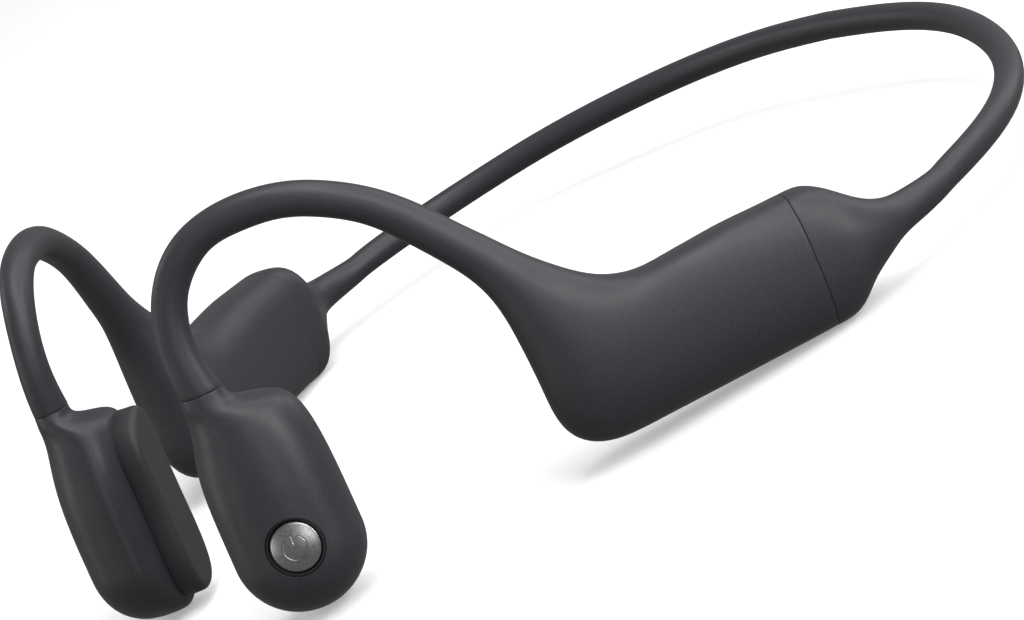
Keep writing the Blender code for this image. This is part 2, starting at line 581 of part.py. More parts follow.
def add_multifunction_button(shell):
    centre = (BUTTON_S, BUTTON_Z, 0)
    hole_radius = BUTTON_RADIUS + HOLE_CLEARANCE
    hole = turned(((hole_radius, 2.0), (hole_radius, 2 * BUTTON_FACE)), centre, AROUND_BUTTON)
    cut(shell, add_piece("button_hole", *hole, LEFT, BLACK, on_pod))
    cap = ((BUTTON_STEM, BUTTON_SKIRT - GAP), (BUTTON_STEM, BUTTON_SKIRT), (BUTTON_RADIUS, BUTTON_SKIRT),
           (BUTTON_RADIUS, BUTTON_FACE - BUTTON_RIM), (BUTTON_RADIUS - BUTTON_RIM, BUTTON_FACE),
           (0.4 * BUTTON_RADIUS, BUTTON_FACE - BUTTON_DISH))
    add_piece("multifunction_button", *turned(cap, centre, AROUND_BUTTON), LEFT, SILVER, on_pod,
              (BUTTON_S, BUTTON_Z, BUTTON_FACE))
    inner = BUTTON_RADIUS + SEAL_CLEARANCE
    outer = inner + SEAL_WIDTH
    seal = ((outer, SEAL_BASE), (outer, SEAL_TOP), (inner, SEAL_TOP - 0.1), (inner, SEAL_BASE))
    add_piece("button_seal_ring", *turned(seal, centre, AROUND_BUTTON, closed=True), LEFT, BLACK, on_pod)
    switch = slab(centre[:2], BUTTON_SWITCH_SIZE, BUTTON_SWITCH_DEPTH, 0.3, "o", 3)
    add_piece("button_tact_switch", *switch, LEFT, STEEL, on_pod)
    add_piece("button_board", *turned(BUTTON_BOARD, centre, AROUND_RING), LEFT, BOARD, on_pod)


# What the housings hold ---------------------------------------------------------------------------

def add_plates():
    for name, plate, side, finish in (
            ("left_wire_anchor", WIRE_ANCHOR, LEFT, FRAME),
            ("right_wire_anchor", WIRE_ANCHOR, RIGHT, FRAME),
            ("battery_cell", BATTERY, LEFT, CELL),
            ("battery_protection_board", PROTECTION_BOARD, LEFT, BOARD),
            ("main_board", MAIN_BOARD, RIGHT, BOARD),
            ("bluetooth_shield_can", SHIELD_CAN, RIGHT, STEEL)):
        add_piece(name, *slab(*plate, "o", 3), side, finish)


def key_face(s):
    """Height of a volume key's outer face, just inside the sloping underside."""
    return UNDERSIDE_Z + UNDERSIDE_RISE * (s - UNDERSIDE_S) + KEY_RECESS


def cut_slot(casings, name, s, size, corner):
    """An upright slot through the underside of the right housing, with a gap around its piece."""
    wide = (size[0] + 2 * GAP, size[1] + 2 * GAP)
    for casing in casings:
        slot = slab((s, UNDERSIDE_O), wide, SLOT_DEPTH, corner + GAP, "z", 4)
        cut(casing, add_piece(name, *slot, RIGHT, BLACK))


def add_volume_key(casings, name, s):
    face = key_face(s)
    key = slab((s, UNDERSIDE_O), VOLUME_KEY, (face, face + KEY_HEIGHT), KEY_CORNER, "z", 4)
    add_piece(name + "_button", *key, RIGHT, SILICONE, on_plan, (s, face, UNDERSIDE_O))
    depth = [face + place for place in KEY_SWITCH_DEPTH]
    switch = slab((s, UNDERSIDE_O), KEY_SWITCH, depth, 0.2, "z", 3)
    add_piece(name + "_tact_switch", *switch, RIGHT, STEEL)
    cut_slot(casings, name + "_slot", s, VOLUME_KEY, KEY_CORNER)


def add_light_pipe(casings):
    s = (VOLUME_UP_S + VOLUME_DOWN_S) / 2
    pipe = slab((s, UNDERSIDE_O), LIGHT_SIZE, LIGHT_DEPTH, LIGHT_CORNER, "z", 4)
    add_piece("status_light_pipe", *pipe, RIGHT, DIFFUSER)
    cut_slot(casings, "light_slot", s, LIGHT_SIZE, LIGHT_CORNER)


def add_charging_pad(casings):
    depth = (CHARGE_FACE, CHARGE_FACE + CHARGE_HEIGHT)
    pad = slab((CHARGE_S, UNDERSIDE_O), CHARGE_PAD, depth, CHARGE_CORNER, "z", 4)
    pad = add_piece("charging_pad", *pad, RIGHT, BLACK)
    cut_slot(casings, "charging_slot", CHARGE_S, CHARGE_PAD, CHARGE_CORNER)
    hole_size = PIN_SIZE + 0.4
    for name, step in (("charging_pin_front", -PIN_SPACING / 2), ("charging_pin_rear", PIN_SPACING / 2)):
        place = (CHARGE_S + step, UNDERSIDE_O)
        through = (CHARGE_FACE - 1, CHARGE_FACE + 2 * CHARGE_HEIGHT)
        hole = slab(place, (hole_size, hole_size), through, hole_size / 2 - 0.05, "z", 4)
        cut(pad, add_piece(name + "_hole", *hole, RIGHT, BLACK))
        length = (CHARGE_FACE + PIN_RECESS, CHARGE_FACE + PIN_RECESS + PIN_LENGTH)
        pin = slab(place, (PIN_SIZE, PIN_SIZE), length, PIN_SIZE / 2 - 0.05, "z", 4)
        add_piece(name, *pin, RIGHT, GOLD)


left_shell = add_pod(LEFT, "left")
add_pod(RIGHT, "right")
add_hook(LEFT, "left")
right_skin, right_frame = add_hook(RIGHT, "right")
add_neckband()
add_multifunction_button(left_shell)
add_plates()
right_casings = (right_skin, right_frame)
add_volume_key(right_casings, "volume_up", VOLUME_UP_S)
add_volume_key(right_casings, "volume_down", VOLUME_DOWN_S)
add_light_pipe(right_casings)
add_charging_pad(right_casings)


def settle():
    """Tilts the headphones to their stable rest and puts them on the ground, centred on the origin."""
    rest_frame.rotation_euler = (REST_TILT, 0, 0)
    bpy.context.view_layer.update()
    corners = []
    for piece in bpy.data.objects:
        if piece.type == "MESH" and not piece.hide_render:
            corners += [piece.matrix_world @ vert.co for vert in piece.data.vertices]
    corners = np.array(corners)
    low, high = corners.min(axis=0), corners.max(axis=0)
    rest_frame.location = (0, -(low[1] + high[1]) / 2, -low[2])


settle()
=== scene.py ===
"""Bone conduction headphones: the visible skins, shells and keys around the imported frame.

The fine surfaces follow the same rules as the CAD part. Points are drawn in millimetres in unrolled
coordinates (s along the plan curve, z height, o outwards) and laid on the plan curve, tilted to rest.
"""

import json
import math

import bmesh
import bpy
import numpy as np
from mathutils import Matrix, Vector


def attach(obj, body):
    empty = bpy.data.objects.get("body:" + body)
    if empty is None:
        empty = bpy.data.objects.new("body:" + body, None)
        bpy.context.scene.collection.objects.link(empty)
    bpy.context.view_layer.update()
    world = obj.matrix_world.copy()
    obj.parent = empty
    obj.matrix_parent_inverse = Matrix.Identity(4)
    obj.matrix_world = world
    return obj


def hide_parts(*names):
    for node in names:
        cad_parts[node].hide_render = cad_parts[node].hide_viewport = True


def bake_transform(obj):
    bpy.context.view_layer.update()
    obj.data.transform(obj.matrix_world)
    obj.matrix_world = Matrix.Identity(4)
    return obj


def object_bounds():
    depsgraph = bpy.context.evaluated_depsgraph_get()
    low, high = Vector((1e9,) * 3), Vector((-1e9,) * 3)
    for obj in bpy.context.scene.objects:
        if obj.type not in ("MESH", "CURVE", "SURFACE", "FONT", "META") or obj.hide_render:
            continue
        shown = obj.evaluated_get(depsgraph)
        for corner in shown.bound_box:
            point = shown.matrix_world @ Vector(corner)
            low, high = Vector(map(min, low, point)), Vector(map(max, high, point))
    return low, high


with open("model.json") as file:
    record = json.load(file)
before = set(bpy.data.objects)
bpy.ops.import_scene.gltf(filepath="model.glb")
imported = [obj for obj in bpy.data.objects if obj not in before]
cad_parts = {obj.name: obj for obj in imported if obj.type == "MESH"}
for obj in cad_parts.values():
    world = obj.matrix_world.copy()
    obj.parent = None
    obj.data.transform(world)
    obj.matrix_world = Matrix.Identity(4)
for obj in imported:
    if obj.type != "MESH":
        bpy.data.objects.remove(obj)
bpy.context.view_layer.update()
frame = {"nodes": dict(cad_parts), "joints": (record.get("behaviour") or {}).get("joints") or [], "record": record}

MM = 0.001
LEFT, RIGHT = 1, -1

# Where the headphones run, seen from above: heading in degrees along the plan curve.
PLAN_AT = (-8, 0, 12, 30, 40, 56, 72, 80, 89, 102, 115, 130, 145.3, 162.3, 179.5)
PLAN_HEADING = (42, 39.5, 44.5, 42, 38, 32, 26, 13, -1.7, -17.4, -37.9, -56.7, -68, -84, -90)
PLAN_STEP = 0.25
BACK_OF_NECK_Y = 63.0
BAND_TOP_Z = 12.5
REST_TILT = math.radians(-9.25)

# Hook and housing: front or upper rail (s, z), rear or lower rail (s, z), half width, squareness
# on the inner and on the outer side, from the seam at the pod to the seam at the neckband.
HOOK_ROWS = (
    (-2.65, 13.8, 2.65, 13.8, 2.2, 2, 2),
    (-2.9, 18.8, 1.75, 18.8, 2.0, 2, 2),
    (-2.0, 23.9, 2.3, 22.9, 1.95, 2, 2),
    (0.6, 28.7, 4.0, 26.0, 2.05, 2, 2),
    (5.0, 32.3, 7.5, 28.8, 2.15, 2, 2),
    (11.1, 33.9, 11.9, 29.6, 2.15, 2, 2),
    (17.5, 33.6, 16.6, 29.4, 2.15, 2, 2),
    (23.0, 31.9, 21.05, 28.0, 2.15, 2, 2),
    (28.5, 28.8, 25.9, 25.2, 2.2, 2, 2),
    (33.0, 24.9, 29.8, 21.3, 2.35, 2, 2),
    (36.3, 21.3, 33.0, 17.5, 2.55, 2, 2),
    (39.3, 18.0, 35.45, 13.9, 2.8, 2.1, 2),
    (42.1, 14.9, 36.9, 9.8, 3.5, 2.3, 2.05),
    (45.0, 12.15, 37.5, 4.6, 4.3, 2.5, 2.1),
    (47.9, 9.9, 37.75, -0.4, 4.9, 2.7, 2.15),
    (50.8, 8.55, 38.05, -4.7, 5.3, 2.9, 2.2),
    (54.0, 8.05, 39.75, -7.9, 5.5, 3.1, 2.3),
    (57.5, 8.3, 43.7, -9.5, 5.5, 3.4, 2.35),
    (61.0, 8.6, 49.5, -9.3, 5.5, 3.7, 2.4),
    (64.6, 8.9, 56.0, -8.8, 5.5, 3.8, 2.4),
    (68.4, 9.0, 64.0, -8.2, 5.5, 3.8, 2.4),
    (72.4, 9.1, 72.4, -7.6, 5.5, 3.8, 2.4),
)
FLARE_ROWS = (
    (72.7, 9.1, 72.7, -7.6, 5.5, 3.8, 2.4),
    (75.2, 9.0, 75.2, -7.3, 5.6, 3.7, 2.4),
    (77.3, 8.1, 77.1, -6.2, 5.5, 3.5, 2.3),
    (79.3, 6.5, 79.0, -4.5, 4.9, 3.1, 2.2),
    (81.4, 4.9, 81.6, -2.85, 3.9, 2.5, 2.1),
    (84.0, 3.8, 84.4, -1.45, 2.6, 2.1, 2),
    (87.5, 3.65, 87.9, -0.65, 2.05, 2, 2),
)
BAND_AT = (92, 96, 110, 124, 138, 152, 166, 179.5)
BAND_HEIGHT = (2.0, 2.8, 5.1, 7.6, 9.6, 11.1, 12.1, 12.5)
BAND_RADIUS = 1.85
SKIN_WALL, BAND_WALL, SHELL_WALL = 1.0, 0.8, 1.2
# The middle of a section moves towards the head by these, over these stretches of s or of height.
HOUSING_LEAN, HOUSING_LEAN_FROM, HOUSING_LEAN_TO, HOOK_HALF = 0.45, 38.0, 76.0, 2.0
HOOK_LEAN, HOOK_LEAN_FROM, HOOK_LEAN_TO = 0.85, 13.0, 27.0
WIRE_OFFSET, WIRE_RADIUS, CABLE_RADIUS = 0.4, 0.32, 0.28
WIRE_START_S, AROUND_WIRE = 79, 12
HOOK_OUTER_COUNT, HOOK_INNER_COUNT = 210, 60
BAND_OUTER_COUNT, BAND_INNER_COUNT = 170, 60

# Pod: front rail (s, z), rear rail (s, z), inner and outer reach, fullness from round at the hook
# to square, and squareness of the outer side, down to where the round bottom starts.
POD_ROWS = (
    (-2.65, 13.5, 2.65, 13.5, -2.2, 2.2, 0, 2),
    (-3.0, 12.0, 3.6, 12.0, -2.7, 2.4, 0.25, 2),
    (-3.4, 10.4, 6.2, 11.0, -5.3, 2.75, 0.6, 2),
    (-3.9, 8.0, 8.95, 9.5, -6.3, 3.3, 0.9, 2.05),
    (-4.7, 5.0, 10.35, 5.9, -6.5, 3.95, 1, 2.15),
    (-5.15, 1.0, 10.85, 1.2, -6.5, 4.4, 1, 2.25),
    (-5.25, -3.6, 11.0, -3.6, -6.5, 4.55, 1, 2.3),
    (-5.25, -8.0, 11.05, -8.0, -6.5, 4.55, 1, 2.3),
)
POD_CENTRE_S, POD_RADIUS = 2.9, 8.15
POD_HEADING = math.radians(41.5)
POD_ROUND_Z, POD_ROUND_DROP = -8.0, 8.1
POD_MIDDLE = -3.0
POD_INNER_POWER, POD_OUTER_POWER, POD_BOTTOM_POWER = 2.3, 2.3, 5.0
CONTACT_FACE, CAP_SEAM = -9.0, -6.0
POD_OUTER_COUNT, POD_INNER_COUNT = (90, 26, 24), (40, 14, 12)  # rows, round steps, per quarter
CAP_WALL, CAP_DRAFT, CAP_ROUND, CAP_COUNT = 1.0, 0.1, 0.9, 240
CAP_FLAT = 0.3                   # the flat of the face starts this far inside the rounding
CAP_FOOT = ((0.4, 0.14), (-0.1, 0.14), (-0.16, 0.05), (-0.24, 0.01))  # (o from the seam, inset)
CAP_OUTLINE = (                  # (s, z) round the cap
    (-1.4, -11), (-1.45, -4), (-1.45, 3), (-1.1, 6.1), (0.3, 8.1), (2.6, 9.5), (4.7, 10), (6.4, 9.1),
    (7.2, 6.9), (7.35, 3), (7.4, -4), (7.3, -10), (6, -13.3), (3, -14.75), (-0.1, -13.8),
)
OPENING = ((2.9, -2.4), (6.4, 20.0))  # of the shell under the cap: middle (s, z) and size
OPENING_CORNER, OPENING_DEPTH = 3.15, (CAP_SEAM - 1, CAP_SEAM + 2.4)
PORT_O, PORT_SIZE, PORT_CORNER, PORT_DEPTH = -1.6, (1.3, 0.55), 0.27, (-20, -13)

BUTTON_S, BUTTON_Z, BUTTON_RADIUS, BUTTON_FACE = 3.85, -6.9, 3.1, 4.4
BUTTON_DOME, BUTTON_EDGE, AROUND_BUTTON = 0.45, 0.16, 96
# (radius, o) of the button's stem and back
BUTTON_BACK = ((0.9, 2.3), (0.9, 2.6), (BUTTON_RADIUS - 0.1, 2.6), (BUTTON_RADIUS, 2.7))
BUTTON_HOLE, BUTTON_HOLE_DEPTH = 0.55, (1.6, 9.0)  # wider than the button, and how deep
SEAL_INNER, SEAL_OUTER, SEAL_BACK = BUTTON_RADIUS + 0.14, BUTTON_RADIUS + 0.5, 2.9
SEAL_DROP, SEAL_CHAMFER = (0.4, 0.5), 0.06         # its edge lies this far below the button's face
ICON_RADIUS, ICON_LINE = 1.5, 0.15
ICON_ARC, ICON_BAR = (125, 415), (0.3, 1.15)       # degrees, and shares of the radius

UNDERSIDE_O = -0.9
UNDERSIDE_S, UNDERSIDE_Z, UNDERSIDE_RISE, KEY_RECESS = 56, -8.8, 0.073, 0.15
VOLUME_UP_S, VOLUME_DOWN_S = 60.6, 68.2
VOLUME_KEY, VOLUME_KEY_CORNER = (5.2, 2.2), 1.05
MARK_LONG, MARK_WIDE, MARK_DEPTH = 0.9, 0.24, 0.09
LIGHT_S = (VOLUME_UP_S + VOLUME_DOWN_S) / 2
LIGHT_PIPE, LIGHT_CORNER, LIGHT_FACE = (1.0, 1.0), 0.45, -7.9
CHARGE_S, CHARGE_PAD, CHARGE_CORNER, CHARGE_FACE = 52.2, (6.0, 3.0), 1.2, -9.1
PIN_SHIFT, PIN_SIZE, PIN_CORNER, PIN_HOLE, PIN_HOLE_CORNER = 1.4, (1.1, 1.1), 0.5, (1.4, 1.4), 0.65
KEY_GAP = 0.15
SLOT_DEPTH = (-13, -4.6)         # slots through the housing skin, below and above the skin

# Edges of the small parts on the underside: (z from the part's face, inset).
VOLUME_KEY_EDGE = ((0, 0.35), (0.04, 0.17), (0.12, 0.06), (0.25, 0), (1.9, 0))
LIGHT_PIPE_EDGE = ((0, 0.15), (0.06, 0.04), (0.2, 0), (2.3, 0))
CHARGE_PAD_EDGE = ((0, 0.2), (0.04, 0.08), (0.15, 0), (1.6, 0))
PIN_EDGE = ((0.1, 0.2), (0.14, 0.08), (0.25, 0), (2.4, 0))

# Rounded rim of a skin or shell at a seam: how far in and how far towards the seam.
LIP = ((0.0, 0.0), (0.015, 0.07), (0.05, 0.115), (0.3, 0.125))
AROUND_QUARTER = 16
SOFT_EDGE, SHELL_EDGE, HARD_EDGE = 38, 25, 50  # degrees from which an edge shows as sharp

# Frame -----------------------------------------------------------------------------------------

hinge = next(joint for joint in frame["joints"] if joint["name"] == "neckband_flex")
TILT = Matrix.Rotation(REST_TILT, 4, "X")
REST = Matrix.Translation(Vector(hinge["pos_m"])
                          - TILT @ Vector((0, BACK_OF_NECK_Y * MM, BAND_TOP_Z * MM))) @ TILT


def spline(knots, values, at):
    """Natural cubic spline through the values, read at the given places."""
    knots = np.asarray(knots, float)
    values = np.asarray(values, float).reshape(len(knots), -1)
    at = np.atleast_1d(np.asarray(at, float))
    width = np.diff(knots)
    system = np.eye(len(knots))
    bends = np.zeros_like(values)
    for i in range(1, len(knots) - 1):
        system[i, i - 1:i + 2] = width[i - 1], 2 * (width[i - 1] + width[i]), width[i]
        rise = (values[i + 1] - values[i]) / width[i]
        bends[i] = 6 * (rise - (values[i] - values[i - 1]) / width[i - 1])
    bends = np.linalg.solve(system, bends)
    i = np.clip(np.searchsorted(knots, at, side="right") - 1, 0, len(knots) - 2)
    before = ((knots[i + 1] - at) / width[i])[:, None]
    after = 1 - before
    curve = (before**3 - before) * bends[i] + (after**3 - after) * bends[i + 1]
    return before * values[i] + after * values[i + 1] + curve * width[i][:, None]**2 / 6


def plan_curve():
    at = np.arange(PLAN_AT[0], PLAN_AT[-1] + PLAN_STEP / 2, PLAN_STEP)
    heading = np.radians(spline(PLAN_AT, PLAN_HEADING, at)[:, 0])
    x = np.concatenate([[0], np.cumsum((np.sin(heading[1:]) + np.sin(heading[:-1])) / 2 * PLAN_STEP)])
    y = np.concatenate([[0], np.cumsum((np.cos(heading[1:]) + np.cos(heading[:-1])) / 2 * PLAN_STEP)])
    return at, x - x[-1], y - y[-1] + BACK_OF_NECK_Y, heading


PLAN = plan_curve()


def to_row(points):
    """Worn-frame millimetres as metres in the frame's own coordinates."""
    points = np.asarray(points, float) * MM
    turn = np.array(REST.to_3x3())
    return points @ turn.T + np.array(REST.translation)


def on_plan(points, side):
    s, z, o = np.asarray(points, float).T
    at, plan_x, plan_y, plan_heading = PLAN
    heading = np.interp(s, at, plan_heading)
    x = np.interp(s, at, plan_x) + o * np.cos(heading)
    y = np.interp(s, at, plan_y) - o * np.sin(heading)
    return to_row(np.stack([side * x, y, z], axis=1))


def on_pod(points, side):
    s, z, o = np.asarray(points, float).T
    at, plan_x, plan_y, _ = PLAN
    x = np.interp(0, at, plan_x) + s * math.sin(POD_HEADING) + o * math.cos(POD_HEADING)
    y = np.interp(0, at, plan_y) + s * math.cos(POD_HEADING) - o * math.sin(POD_HEADING)
    return to_row(np.stack([side * x, y, z], axis=1))


# Sections ----------------------------------------------------------------------------------------

def quarter(power, width, reach, steps):
    """A quarter of a superellipse from its rail (1, 0) to its crown (0, 1), evenly spaced."""
    turn = np.linspace(0, np.pi / 2, 8 * steps + 1)
    radius = (np.cos(turn)**power + np.sin(turn)**power)**(-1 / power)
    along, depth = radius * np.cos(turn), radius * np.sin(turn)
    length = np.concatenate([[0], np.cumsum(np.hypot(np.diff(along) * width, np.diff(depth) * reach))])
    even = np.linspace(0, length[-1], steps + 1)
    along, depth = np.interp(even, length, along), np.interp(even, length, depth)
    along[-1] = depth[0] = 0
    return along, depth


def ring(front, rear, inner, middle, outer, power_in, power_out, steps=AROUND_QUARTER):
    """A closed section between two rail points, evenly spaced in each quarter."""
    front, rear = np.asarray(front, float), np.asarray(rear, float)
    width = max(np.linalg.norm(front - rear) / 2, 1e-6)
    out_along, out_depth = quarter(power_out, width, max(outer - middle, 1e-6), steps)
    in_along, in_depth = quarter(power_in, width, max(middle - inner, 1e-6), steps)
    along = np.concatenate([out_along[:-1], -out_along[:0:-1], -in_along[:-1], in_along[:0:-1]])
    o = np.concatenate([middle + (outer - middle) * out_depth[:-1],
                        middle + (outer - middle) * out_depth[:0:-1],
                        middle + (inner - middle) * in_depth[:-1],
                        middle + (inner - middle) * in_depth[:0:-1]])
    sz = (front + rear) / 2 + np.outer(along, (front - rear) / 2)
    return np.column_stack([sz, o])


def lean(row):
    """How far the middle of a hook, housing or band section stands towards the head."""
    s, height = (row[0] + row[2]) / 2, (row[1] + row[3]) / 2
    rise = min(max((height - HOOK_LEAN_FROM) / (HOOK_LEAN_TO - HOOK_LEAN_FROM), 0), 1)
    back = min(max((s - HOUSING_LEAN_FROM) / (HOUSING_LEAN_TO - HOUSING_LEAN_FROM), 0), 1)
    return -HOUSING_LEAN * back * max(row[4] - HOOK_HALF, 0) - HOOK_LEAN * rise**2 * (3 - 2 * rise)


def section(row, inset):
    front, rear = np.array(row[0:2]), np.array(row[2:4])
    reach = (front - rear) / np.linalg.norm(front - rear) * inset
    half = row[4] - inset
    middle = lean(row)
    return ring(front - reach, rear + reach, middle - half, middle, middle + half, row[5], row[6])


def section_centre(row):
    return np.array([(row[0] + row[2]) / 2, (row[1] + row[3]) / 2, lean(row)])


def even_rows(rows, count):
    """The rows read on a smooth curve through them, spaced by the distance their middles travel."""
    rows = np.asarray(rows, float)
    fine = spline(range(len(rows)), rows, np.linspace(0, len(rows) - 1, 40 * len(rows)))
    middle = (fine[:, 0:2] + fine[:, 2:4]) / 2
    swing = np.arctan2(fine[:, 1] - fine[:, 3], fine[:, 0] - fine[:, 2])
    length = np.linalg.norm(np.diff(middle, axis=0), axis=1) + 3 * np.abs(np.diff(np.unwrap(swing)))
    length = np.concatenate([[0], np.cumsum(length)])
    at = np.interp(np.linspace(0, length[-1], count), length, np.linspace(0, len(rows) - 1, len(fine)))
    at[0], at[-1] = 0, len(rows) - 1
    return spline(range(len(rows)), rows, at)


def ring_faces(rings, around, closed):
    faces = []
    for i in range(rings if closed else rings - 1):
        a, b = i * around, (i + 1) % rings * around
        for k in range(around):
            m = (k + 1) % around
            faces.append((a + k, a + m, b + m, b + k))
    return faces


def solid_loft(rings):
    around = len(rings[0])
    faces = ring_faces(len(rings), around, closed=False)
    faces.append(tuple(range(around)))
    faces.append(tuple(range((len(rings) - 1) * around, len(rings) * around)))
    return np.vstack(rings), faces


def tube_loft(outer, inner):
    rings = list(outer) + list(inner)[::-1]
    return np.vstack(rings), ring_faces(len(rings), len(rings[0]), closed=True)


# Objects -----------------------------------------------------------------------------------------

def new_mesh(name, points, faces):
    mesh = bpy.data.meshes.new(name)
    mesh.from_pydata(np.asarray(points).tolist(), [], [tuple(map(int, face)) for face in faces])
    shape = bmesh.new()
    shape.from_mesh(mesh)
    bmesh.ops.remove_doubles(shape, verts=shape.verts, dist=1e-6)
    bmesh.ops.dissolve_degenerate(shape, edges=shape.edges, dist=1e-7)
    bmesh.ops.recalc_face_normals(shape, faces=shape.faces)
    shape.to_mesh(mesh)
    shape.free()
    return mesh


def new_object(name, points, faces, finish=None, sharp=SOFT_EDGE):
    mesh = new_mesh(name, points, faces)
    if finish:
        mesh.materials.append(finish)
    mesh.shade_smooth()
    mesh.set_sharp_from_angle(angle=math.radians(sharp))
    piece = bpy.data.objects.new(name, mesh)
    bpy.context.collection.objects.link(piece)
    return piece


def apply_cuts(piece, cutters, sharp=SOFT_EDGE):
    """Takes the cutters out of the piece, once and for all."""
    for cutter in cutters:
        change = piece.modifiers.new(cutter.name, "BOOLEAN")
        change.operation = "DIFFERENCE"
        change.object = cutter
    bpy.context.view_layer.update()
    ready = piece.evaluated_get(bpy.context.evaluated_depsgraph_get())
    mesh = bpy.data.meshes.new_from_object(ready)
    piece.modifiers.clear()
    finish = piece.data.materials[0]
    piece.data = mesh
    mesh.materials.clear()
    mesh.materials.append(finish)
    mesh.polygons.foreach_set("material_index", [0] * len(mesh.polygons))
    mesh.shade_smooth()
    mesh.set_sharp_from_angle(angle=math.radians(sharp))
    for cutter in cutters:
        bpy.data.objects.remove(cutter, do_unlink=True)


def place(piece, body, node):
    """Says what the piece rides on and hides the CAD node it stands for."""
    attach(piece, body)
    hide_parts(node)


# Materials ---------------------------------------------------------------------------------------

NOISE_LOW, NOISE_HIGH = 0.3, 0.7       # the middle range of a noise, where most of it lies
GRAIN, GRAIN_HEIGHT, GRAIN_TONE = 5200.0, 0.00003, 0.2
MARKS, MARKS_ROUGHNESS = 260.0, 0.035
PLAIN_GRAIN, PLAIN_HEIGHT, PLAIN_ROUGHNESS = 900.0, 0.00001, 0.06
CHARCOAL = (0.031, 0.032, 0.037)


def shader(name, colour, roughness, metallic=0.0, **sockets):
    made = bpy.data.materials.new(name)
    made.use_nodes = True
    principled = made.node_tree.nodes["Principled BSDF"]
    principled.inputs["Base Color"].default_value = (*colour, 1)
    principled.inputs["Roughness"].default_value = roughness
    principled.inputs["Metallic"].default_value = metallic
    for socket, value in sockets.items():
        principled.inputs[socket.replace("_", " ")].default_value = value
    return made


def add_noise(made, scale, detail):
    nodes, links = made.node_tree.nodes, made.node_tree.links
    place_in = nodes.new("ShaderNodeTexCoord")
    noise = nodes.new("ShaderNodeTexNoise")
    noise.inputs["Scale"].default_value = scale
    noise.inputs["Detail"].default_value = detail
    links.new(place_in.outputs["Object"], noise.inputs["Vector"])
    return noise.outputs["Fac"]


def vary_roughness(made, value, low, high):
    """Moves the roughness between two numbers by a noise value."""
    nodes, links = made.node_tree.nodes, made.node_tree.links
    span = nodes.new("ShaderNodeMapRange")
    span.inputs["From Min"].default_value = NOISE_LOW
    span.inputs["From Max"].default_value = NOISE_HIGH
    span.inputs["To Min"].default_value = low
    span.inputs["To Max"].default_value = high
    links.new(value, span.inputs["Value"])
    links.new(span.outputs["Result"], nodes["Principled BSDF"].inputs["Roughness"])


def tint(made, value, dark, light):
    """Varies the base colour between two tones."""
    nodes, links = made.node_tree.nodes, made.node_tree.links
    ramp = nodes.new("ShaderNodeValToRGB")
    ramp.color_ramp.elements[0].position = NOISE_LOW
    ramp.color_ramp.elements[1].position = NOISE_HIGH
    ramp.color_ramp.elements[0].color = (*dark, 1)
    ramp.color_ramp.elements[1].color = (*light, 1)
    links.new(value, ramp.inputs["Fac"])
    links.new(ramp.outputs["Color"], nodes["Principled BSDF"].inputs["Base Color"])


def bump(made, value, height, strength):
    nodes, links = made.node_tree.nodes, made.node_tree.links
    raised = nodes.new("ShaderNodeBump")
    raised.inputs["Distance"].default_value = height
    raised.inputs["Strength"].default_value = strength
    links.new(value, raised.inputs["Height"])
    links.new(raised.outputs["Normal"], nodes["Principled BSDF"].inputs["Normal"])


def soft_touch(name, tone, roughness):
    """Charcoal moulding with a fine even grain and faint handling marks."""
    made = shader(name, tone, roughness, Specular_IOR_Level=0.42, Sheen_Weight=0.04, Sheen_Roughness=0.4)
    fine = add_noise(made, GRAIN, 2.0)
    broad = add_noise(made, MARKS, 4.0)
    tint(made, fine, [c * (1 - GRAIN_TONE) for c in tone], [c * (1 + GRAIN_TONE) for c in tone])
    vary_roughness(made, broad, roughness - MARKS_ROUGHNESS, roughness + MARKS_ROUGHNESS)
    bump(made, fine, GRAIN_HEIGHT, 0.22)
    return made


def plain(name, colour, roughness, metallic=0.0, scale=PLAIN_GRAIN, vary=0.12):
    """Finish of a hidden or small piece: fine tone and roughness variation and a light bump."""
    made = shader(name, colour, roughness, metallic)
    fine = add_noise(made, scale, 3.0)
    tint(made, fine, [c * (1 - vary) for c in colour], [c * (1 + vary) for c in colour])
    vary_roughness(made, fine, roughness - PLAIN_ROUGHNESS, roughness + PLAIN_ROUGHNESS)
    bump(made, fine, PLAIN_HEIGHT, 0.3)
    return made


SILICONE = soft_touch("soft_charcoal_silicone", CHARCOAL, 0.46)
SHELL = soft_touch("soft_charcoal_shell", CHARCOAL, 0.44)
FACE = soft_touch("matte_contact_face", (0.026, 0.027, 0.030), 0.56)
SEAL = plain("black_seal_rubber", (0.006, 0.006, 0.007), 0.6)
BLACK = plain("black_moulded_plastic", (0.008, 0.008, 0.009), 0.35)
ALLOY = plain("spun_aluminium", (0.4, 0.4, 0.405), 0.3, 1.0, scale=3000.0, vary=0.02)
STEEL = plain("stamped_steel", (0.56, 0.56, 0.57), 0.32, 1.0)
TITANIUM = plain("drawn_titanium", (0.5, 0.48, 0.46), 0.4, 1.0)
MAGNET = plain("nickel_plate", (0.65, 0.64, 0.62), 0.2, 1.0)
COPPER = plain("enamelled_copper", (0.72, 0.35, 0.2), 0.3, 1.0)
GOLD = plain("gold_plate", (0.85, 0.62, 0.25), 0.24, 1.0)
BOARD = plain("solder_mask", (0.02, 0.12, 0.06), 0.4)
POUCH = plain("battery_foil", (0.6, 0.62, 0.65), 0.35, 0.8)
JACKET = plain("cable_jacket_black", (0.02, 0.02, 0.022), 0.5)
INNER = plain("moulded_frame", (0.03, 0.03, 0.033), 0.55)
DIFFUSER = plain("frosted_diffuser", (0.7, 0.7, 0.7), 0.45)
